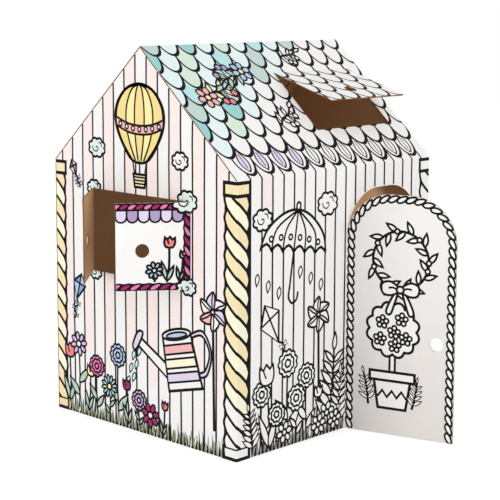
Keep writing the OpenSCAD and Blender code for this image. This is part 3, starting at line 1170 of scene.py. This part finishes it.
# %% Draw the window gable
gable = []
balloon(gable, -4, 992, 112, ("sun", "gold"), "butter")
cloud(gable, -205, 893, 34)
cloud(gable, 176, 880, 30, "white")
kite(gable, -322, 820, 24, 24, ("blush", "lilac"))
kite(gable, -300, 432, 40, -16, ("sky", "haze"))
watering_can(gable, 174, 268, 128, ("lilac", "cream", "blush"), "aqua")
pinwheel(gable, 316, 440, 58, 364, ("white", "lilac", "white", "blush"))
tulip(gable, -352, 34, 150, "coral")
daisy(gable, -306, 236, 40, "orchid", "cream", 8, 215)
tulip(gable, -258, 20, 118, "sun", lean=-5)
pompon(gable, -216, 178, 36, "pink", 160)
daisy(gable, -154, 122, 38, "aqua", "sun", 12, 112)
pompon(gable, -112, 232, 38, "haze", 214)
tulip(gable, -62, 14, 112, "plum", lean=4)
pompon(gable, -12, 104, 34, "orchid", 92)
daisy(gable, 40, 66, 40, "plum", "cream", 7, 52)
tulip(gable, 96, 10, 86, "coral", lean=-6)
grass(gable, -368, 366, 62)
puffs = []
for u, v, size in ((WINDOW[2] - 15, WINDOW[3], 36), (WINDOW[2] - 11, WINDOW[1] + 7, 29),
                   (WINDOW[0] + 9, WINDOW[3] + 2, 28), (WINDOW[0] + 12, WINDOW[1] - 4, 26)):
    cloud(puffs, u, v, size, "puff", 6)
print("window gable:", len(gable), "marks")

# %% [markdown]
# ## The door wall
#
# The door side is left as line work, the way a colouring house comes out of its box: a parasol, a
# kite and a pinwheel over a bed of blossoms and ferns.

# %% Draw the door wall
wall = []
parasol(wall, -214, 604, 150)
cloud(wall, -352, 716, 36, "white")
cloud(wall, -58, 736, 40, "white")
for i in (0, 1, 2, 4, 5, 6):
    u, v = -372 + 48 * i, 556 - 26 * ((i * 5) % 4)
    figure(wall, leaf_outline(u, v, 36, 17, 262), "white", 1.6, 1)
kite(wall, -312, 400, 62, 28)
pinwheel(wall, -96, 392, 54, 300)
for u, v, size in ((-352, 186, 40), (-236, 262, 44), (-150, 208, 40), (-196, 146, 42), (-286, 112, 38)):
    pompon(wall, u, v, size, "white", v - 10, "white")
tulip(wall, -318, 10, 200, "white", "white", 3)
tulip(wall, -108, 8, 120, "white", "white", -6)
fern(wall, -46, 8, 282, -6)
fern(wall, -4, 8, 190, -5)
fern(wall, -390, 8, 150, 8)
for u, v, size in ((-52, 70, 36), (-14, 42, 32), (-92, 40, 34), (-250, 48, 34)):
    daisy(wall, u, v, size, "white", "white", 6)
grass(wall, -396, 30, 74, "stone")
print("door wall:", len(wall), "marks")

# %% [markdown]
# ## Columns at the corners
#
# Three corners are folds, so their columns are drawn across the fold and bent round it. The
# fourth corner is lapped and glued; there each panel carries its own half. Two of the columns are
# coloured cream, the others are line work.

# %% Draw the columns
CREAM = ("butter", "cream")
PLAIN = ("white",)
FOLD_MIDDLE = HALF_LENGTH - BOARD + BOARD * math.pi / 4
COLUMN = 41.0
COLUMN_FOOT = 6
COLUMN_TOP = 834.0
LAPPED = {
    "lap_gable": (-HALF_WIDTH + BOARD, 0, 0, EAVE),
    "lap_back": (0, 0, HALF_LENGTH - 1, EAVE),
}
column_parts = {}
for key, u, colours in (
        ("near", -FOLD_MIDDLE, CREAM), ("far", FOLD_MIDDLE, PLAIN), ("back", -FOLD_MIDDLE, PLAIN),
        ("lap_gable", -HALF_WIDTH, CREAM), ("lap_back", HALF_LENGTH, PLAIN)):
    blocks = []
    foot = "butter" if key == "lap_gable" else "white"
    shaft = column(blocks, u, COLUMN, COLUMN_FOOT, COLUMN_TOP, colours, foot)
    side = LAPPED.get(key)
    if side:
        slice_box(shaft, side, clear=True)
    column_parts[key] = [shaft, pressed(blocks, side, above=ON_SHAFTS)]
print("columns:", ", ".join(column_parts))

# %% [markdown]
# ## Shingles
#
# Both roof panels carry rows of round shingles. A row's arcs hang from the cusps of the row
# below, half a shingle to the side. The pen presses harder at the lower right of each arc. The
# lowest row covers the tops of the planks, which run over the eave. The front roof is coloured
# from the window gable inwards, less far in each lower row. The skylight's flap is cut from the
# same drawing, so its shingles continue those round it.

# %% Draw the shingles
SHINGLE = 2 * HALF_LENGTH / 12
ROW = 71.5
ROWS = 8
ARC = 66.0
FIRST_ROW = 15.0


def arc(u, v, start, stop, steps=12):
    """Part of a shingle's lower edge, from -1 at the left cusp to 1 at the right one."""
    points = []
    for i in range(steps + 1):
        angle = math.pi * 1.5 + (start + (stop - start) * i / steps) * math.pi / 2
        points.append((u + SHINGLE / 2 * math.cos(angle), v + ARC + ARC * math.sin(angle)))
    return points


def shingle_drawing(coloured):
    """Rows of shingles; coloured gives how many of each row are coloured, from the lowest."""
    sheet = []
    shades = ("aqua", "mist", "teal", "mint")
    for row in range(ROWS):
        v = FIRST_ROW + ROW * row
        for j in range(1, 12) if row == 0 else range(-1, 14):
            u = -HALF_LENGTH + SHINGLE * (j + (0.5 if row % 2 else 0.0))
            if row == ROWS - 1:
                top = [(u + SHINGLE / 2, SLOPE + ARC), (u - SHINGLE / 2, SLOPE + ARC)]
            else:
                right = arc(u + SHINGLE / 2, v + ROW, -1, 0)
                left = arc(u - SHINGLE / 2, v + ROW, 0, 1)
                top = right[::-1] + left[-2::-1]
            outline = arc(u, v, -1, 1, 20) + top
            if j < coloured[row]:
                strong = (j + row // 2) % 2
                paint(sheet, outline, shades[(j // 2 + row * 3) % 4] if strong else "ice", 2)
            elif row == 0:
                paint(sheet, outline, "white", 2)
            wobble = 1 + 0.25 * noise.noise(Vector((u * 0.05, v * 0.05, 3)))
            widths = tuple(w * wobble for w in (3.4, 3.6, 4.4, 6.8, 9.2, 7.8, 5.2, 3.8))
            ink(sheet, arc(u, v, -1, 1, 20), widths, 3)
            if row == 0:
                colour = "lilac" if j < 5 and any(coloured) else "white"
                figure(sheet, leaf_outline(u, v + 12, 90, 36, 90), colour, 2.2, 4)
                ink(sheet, [(u, v + 26), (u, v + 84)], 0.6, 5)
    return sheet


front_shingles = shingle_drawing((0, 1, 3, 4, 5, 7, 8, 9))
back_shingles = shingle_drawing((0,) * ROWS)
sprig(front_shingles, -330, 330, 104, 16, "lime", "coral", "blush")
sprig(front_shingles, -120, 432, 100, 196, "leaf", "purple", "haze")
sprig(front_shingles, -110, 196, 82, 30, "white", "white")
sprig(front_shingles, 110, 482, 72, 8, "white", "white")
print("shingles:", SHINGLE, "mm wide")

# %% [markdown]
# ## Door, shutters and skylight
#
# The door has a rope round its arch, a wreath and a small clipped tree. The window's frame is
# drawn once across both shutters, with a rope, a scalloped awning and the inner parts of the
# clouds, and then divided at the cut between them.

# %% Draw the door
door_sheet = []
inset, bend = 14.0, DOORWAY["shoulder"]
left, right, top = DOORWAY["left"] + inset, DOORWAY["right"] - inset, DOORWAY["top"] - inset
turn = bend - inset
upright = [6 + 24 * i for i in range(25)]
path = [(left, v) for v in upright]
path += [(left + turn - turn * math.cos(a), top - turn + turn * math.sin(a))
         for a in (math.pi / 2 * i / 14 for i in range(1, 15))]
path += [(right - turn + turn * math.sin(a), top - turn + turn * math.cos(a))
         for a in (math.pi / 2 * i / 14 for i in range(15))]
path += [(right, v) for v in reversed(upright)]
rope(door_sheet, path, 24, 29, 2.8, ("white",), 0.5)
middle = (DOORWAY["left"] + DOORWAY["right"]) / 2
wreath(door_sheet, middle, 560, 92, "white", "white")
topiary(door_sheet, middle - 22, 86, 178)
for u, v, size in ((118, 92, 34), (264, 92, 30)):
    fern(door_sheet, u, v, size * 3.2, 10 if u < 200 else -10, pairs=4)
print("door:", len(door_sheet), "marks")

# %% Draw the shutters
window_sheet = []
low_u, low_v, high_u, high_v = WINDOW
ROPE = 22
TONGUES = 12
awning_top = high_v - ROPE
scallop = (high_u - low_u - 2 * ROPE) / TONGUES
for i in range(TONGUES):
    u = low_u + ROPE + scallop * (i + 0.5)
    hem = smooth([(-scallop / 2, -20), (-scallop * 0.36, -32), (0, -37),
                  (scallop * 0.36, -32), (scallop / 2, -20)])
    tongue = [(-scallop / 2, 0), *hem, (scallop / 2, 0)]
    figure(window_sheet, spot(u, awning_top)(tongue), ("lilac", "purple")[i % 2], 2.4, 1)
strands = ("magenta", "pink")
for side_u in (low_u + ROPE / 2, high_u - ROPE / 2):
    rope(window_sheet, [(side_u, low_v + 14), (side_u, high_v - 14)], ROPE, 30, 2.0, strands, 0.8, 4)
rope(window_sheet, [(low_u, high_v - 11.5), (high_u, high_v - 12)], 23, 24, 2.0, strands, 0.8, 4)
rope(window_sheet, [(low_u, low_v + 11.5), (high_u, low_v + 12)], 23, 30, 2.0, strands, 0.8, 4)
tulip(window_sheet, 150, low_v + 26, 104, "coral", lean=-4)
tulip(window_sheet, 186, low_v + 26, 72, "blush", lean=-10)
daisy(window_sheet, 112, low_v + 62, 26, "haze", "cream", 8, 36)
tulip(window_sheet, -158, low_v + 26, 96, "coral", lean=4)
daisy(window_sheet, -196, low_v + 66, 26, "orchid", "sun", 8, 40)
window_sheet += puffs
print("shutters:", len(window_sheet), "marks")

# %% Print the walls
GABLE_TRIM = 5
SHUTTERS = ("left_shutter", "right_shutter")


def corner_column(key, wall_name, half=None):
    """A column's shaft and blocks, laid on a wall and bent round its corner."""
    return [fold_on(part, PANELS[wall_name], half) for part in column_parts[key]]


gable_edge = (-HALF_WIDTH + BOARD, 0, HALF_WIDTH - GABLE_TRIM, RIDGE)
print_piece("print_window_gable", "house", [
    fold_on(pressed(gable_planks, keep=gable_edge, windows=[WINDOW], creases=SHUTTERS),
            PANELS["window_gable"]),
    fold_on(pressed(gable + puffs, windows=[WINDOW], above=ON_COLUMNS, creases=SHUTTERS),
            PANELS["window_gable"]),
    *corner_column("lap_gable", "window_gable")])
wall_edge = (-HALF_LENGTH + BOARD, 0, HALF_LENGTH - BOARD, RIDGE)
doorway = (DOORWAY["left"], -1, DOORWAY["right"], ARCH_START)
print_piece("print_door_wall", "house", [
    fold_on(pressed(door_planks, keep=wall_edge, creases=["door"]), PANELS["door_wall"], eave=True),
    fold_on(pressed(wall, windows=[doorway], above=ON_COLUMNS, creases=["door"]), PANELS["door_wall"]),
    *corner_column("near", "door_wall", HALF_LENGTH),
    *corner_column("far", "door_wall", HALF_LENGTH)])
far_edge = (-HALF_WIDTH + GABLE_TRIM, 0, HALF_WIDTH - GABLE_TRIM, RIDGE)
print_piece("print_far_gable", "house", [
    fold_on(pressed(plain_planks, keep=far_edge), PANELS["far_gable"])])
back_edge = (-HALF_LENGTH + BOARD, 0, HALF_LENGTH - BOARD / 2, RIDGE)
print_piece("print_back_wall", "house", [
    fold_on(pressed(back_planks, keep=back_edge), PANELS["back_wall"], eave=True),
    *corner_column("back", "back_wall", HALF_LENGTH),
    *corner_column("lap_back", "back_wall")])

# %% Print the roof
roof_edge = (-HALF_LENGTH + 1, 4, HALF_LENGTH - 1, SLOPE - 1)
print_piece("print_front_roof", "house", [
    fold_on(pressed(front_shingles, keep=roof_edge, windows=[SKYLIGHT], above=ON_PLANKS,
                    creases=["skylight_flap"]), PANELS["front_roof"])])
print_piece("print_back_roof", "house", [
    fold_on(pressed(back_shingles, keep=(*roof_edge[:3], SLOPE - 6), above=ON_PLANKS),
            PANELS["back_roof"])])

# %% Print the flaps
TRIM = 0.6
HALF_CUT = 0.5
meeting = (WINDOW[0] + WINDOW[2]) / 2
low, high = WINDOW[1] + TRIM, WINDOW[3] - TRIM
FLAP_PRINT = {
    "door": (door_sheet, None, (
        DOORWAY["left"] + TRIM, DOORWAY["foot"] + TRIM, DOORWAY["right"] - TRIM, DOORWAY["top"] - TRIM)),
    "left_shutter": (window_sheet, None, (WINDOW[0] + TRIM, low, meeting - HALF_CUT, high)),
    "right_shutter": (window_sheet, None, (meeting + HALF_CUT, low, WINDOW[2] - TRIM, high)),
    "skylight_flap": (front_shingles, SKYLIGHT_HOLE, (
        SKYLIGHT[0] + TRIM, SKYLIGHT[1] + TRIM, SKYLIGHT[2] - TRIM, SKYLIGHT[3] - TRIM)),
}
for flap, (sheet, hole, edge) in FLAP_PRINT.items():
    print_piece(f"print_{flap}", flap, [
        fold_on(pressed(sheet, keep=edge, hole=hole, creases=[flap]), PANELS[FLAP_PANEL[flap]],
                swing=SWING[flap])])

# %% [markdown]
# ## Creases at the flaps
#
# A flap is cut on three sides and creased on the fourth. There the white liner runs on from the
# wall to the flap and bends with it, while the brown inside opens into a groove. So each crease
# is a narrow strip of liner. One side lies on the house, the other on the flap as it stands, and
# its middle lies on the crease itself, which no turn of the flap moves.

# %% Liner over each crease
CREASE_REACH = 3.0
CREASE_LIFT = 0.03
for flap, (low, high, towards) in CREASES.items():
    where = PANELS[FLAP_PANEL[flap]]
    bm = bmesh.new()
    uv = bm.loops.layers.uv.new("board")
    rows = []
    for reach, lift in ((-CREASE_REACH, CREASE_LIFT), (0, 0), (CREASE_REACH, CREASE_LIFT)):
        placed = []
        for u, v in (low, high):
            flat = Vector((u + towards[0] * reach, v + towards[1] * reach, lift)) * MM
            turn = SWING[flap] if reach > 0 else Matrix.Identity(4)
            placed.append(bm.verts.new(turn @ where @ flat))
        rows.append(placed)
    for side, (near, away) in enumerate(zip(rows, rows[1:])):
        face = bm.faces.new((near[0], near[1], away[1], away[0]))
        face.normal_update()
        face.material_index = side
        outward = where.col[2].to_3d()
        if side:
            outward = SWING[flap].to_3x3() @ outward
        if face.normal.dot(outward) < 0:
            face.normal_flip()
        lay_uv(face, uv, where.col[0].to_3d(), where.col[1].to_3d())
    strip = finish_piece(f"crease_{flap}", bm, [WHITE, OUTSIDE[flap]], None)
    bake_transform(strip)

# %% [markdown]
# ## The studio
#
# A catalogue picture of such a house has soft light from all round and no background. The world
# gives the even light, a large soft lamp lights the gable, and another fills the door wall. A
# narrow spot shines through the slit between the shutters: it is what lights the strip of far
# gable that shows in the doorway. The floor is pale. Seen by the camera it also glows a little, so
# that it meets the white background without a horizon and still keeps the house's shadow.

# %% World
AMBIENT = 0.775


def seen_rays(tree):
    """The node that gives 1 where the camera sees a surface, also in a mirror or through glass."""
    ways = add_node(tree, "ShaderNodeLightPath")
    seen = add_node(
        tree, "ShaderNodeMath",
        {0: ways.outputs["Is Camera Ray"], 1: ways.outputs["Is Glossy Ray"]}, operation="MAXIMUM")
    return add_node(
        tree, "ShaderNodeMath", {0: seen.outputs[0], 1: ways.outputs["Is Transmission Ray"]},
        operation="MAXIMUM")


scene = bpy.context.scene
scene.view_settings.view_transform = "Standard"
world = bpy.data.worlds.new("soft_studio")
scene.world = world
world.use_nodes = True
tree = world.node_tree
tree.nodes.clear()
seen = seen_rays(tree)
level = add_node(
    tree, "ShaderNodeMapRange", {"Value": seen.outputs[0], "To Min": AMBIENT, "To Max": 1.0})
sky = add_node(
    tree, "ShaderNodeBackground", {"Color": linear("#FFFFFF"), "Strength": level.outputs[0]})
add_node(tree, "ShaderNodeOutputWorld", {"Surface": sky.outputs[0]})
print("world: even light of", AMBIENT)


# %% Lamps
def hang(light, watts, place, aim):
    """Hang a light at a place in the studio and point it at a spot on the house."""
    light.energy = watts
    lamp = bpy.data.objects.new(light.name, light)
    lamp.location = place
    lamp.rotation_euler = (Vector(place) - Vector(aim)).to_track_quat("Z", "Y").to_euler()
    scene.collection.objects.link(lamp)


for name, side, watts, place in (
        ("gable_soft_box", 1.4, 42, (-4.8, 0.6, 1.0)), ("door_soft_box", 2.2, 52, (-0.5, -4.6, 3.2))):
    box = bpy.data.lights.new(name, "AREA")
    box.shape = "SQUARE"
    box.size = side
    hang(box, watts, place, (0, 0, 0.7))
snoot = bpy.data.lights.new("window_snoot", "SPOT")
snoot.spot_size = math.radians(2.4)
snoot.spot_blend = 0.1
snoot.shadow_soft_size = 0.02
hang(snoot, 400, (-4.8, 0.56, 0.8), (-0.63, 0, 0.66))

# %% Floor
FLOOR_RADIUS = 14
material, tree, out = new_material("pale_studio_floor")
seen = seen_rays(tree)
matt = add_node(tree, "ShaderNodeBsdfDiffuse", {"Color": linear("#EFEEEC")})
glow = add_node(tree, "ShaderNodeEmission", {"Color": linear("#FFFFFF"), "Strength": 0.45})
lifted = add_node(tree, "ShaderNodeAddShader", {0: matt.outputs[0], 1: glow.outputs[0]})
paper = add_node(
    tree, "ShaderNodeMixShader", {0: seen.outputs[0], 1: matt.outputs[0], 2: lifted.outputs[0]})
tree.links.new(paper.outputs[0], out.inputs["Surface"])
bm = bmesh.new()
bmesh.ops.create_circle(bm, cap_ends=True, segments=96, radius=FLOOR_RADIUS)
mesh = bpy.data.meshes.new("studio_floor")
bm.to_mesh(mesh)
bm.free()
mesh.materials.append(material)
floor = bpy.data.objects.new("studio_floor", mesh)
scene.collection.objects.link(floor)
print("floor:", 2 * FLOOR_RADIUS, "m across")

# %% [markdown]
# ## The camera
#
# The photograph was taken from a little over the ridge's height, looking at the near corner. The
# camera's place, turn and focal length come from fitting the house's corners to the picture. The
# small shift is there because the picture is a crop from beside the middle of a larger frame.

# %% Camera
AZIMUTH = math.radians(-44.59)
ELEVATION = math.radians(8.105)
FOCAL_PIXELS = 1459.3
PICTURE = 500
camera_data = bpy.data.cameras.new("catalogue_camera")
camera_data.sensor_width = 36
camera_data.lens = FOCAL_PIXELS * camera_data.sensor_width / PICTURE
camera_data.shift_x = 0.1
camera_data.shift_y = -0.1
camera_data.clip_end = 100
camera = bpy.data.objects.new("catalogue_camera", camera_data)
camera.location = (-3.4675, -3.3122, 1.3815)
behind = Vector((
    math.sin(AZIMUTH) * math.cos(ELEVATION),
    -math.cos(AZIMUTH) * math.cos(ELEVATION),
    math.sin(ELEVATION)))
camera.rotation_euler = behind.to_track_quat("Z", "Y").to_euler()
scene.collection.objects.link(camera)
scene.camera = camera
print(f"camera: {camera_data.lens:.1f} mm lens")
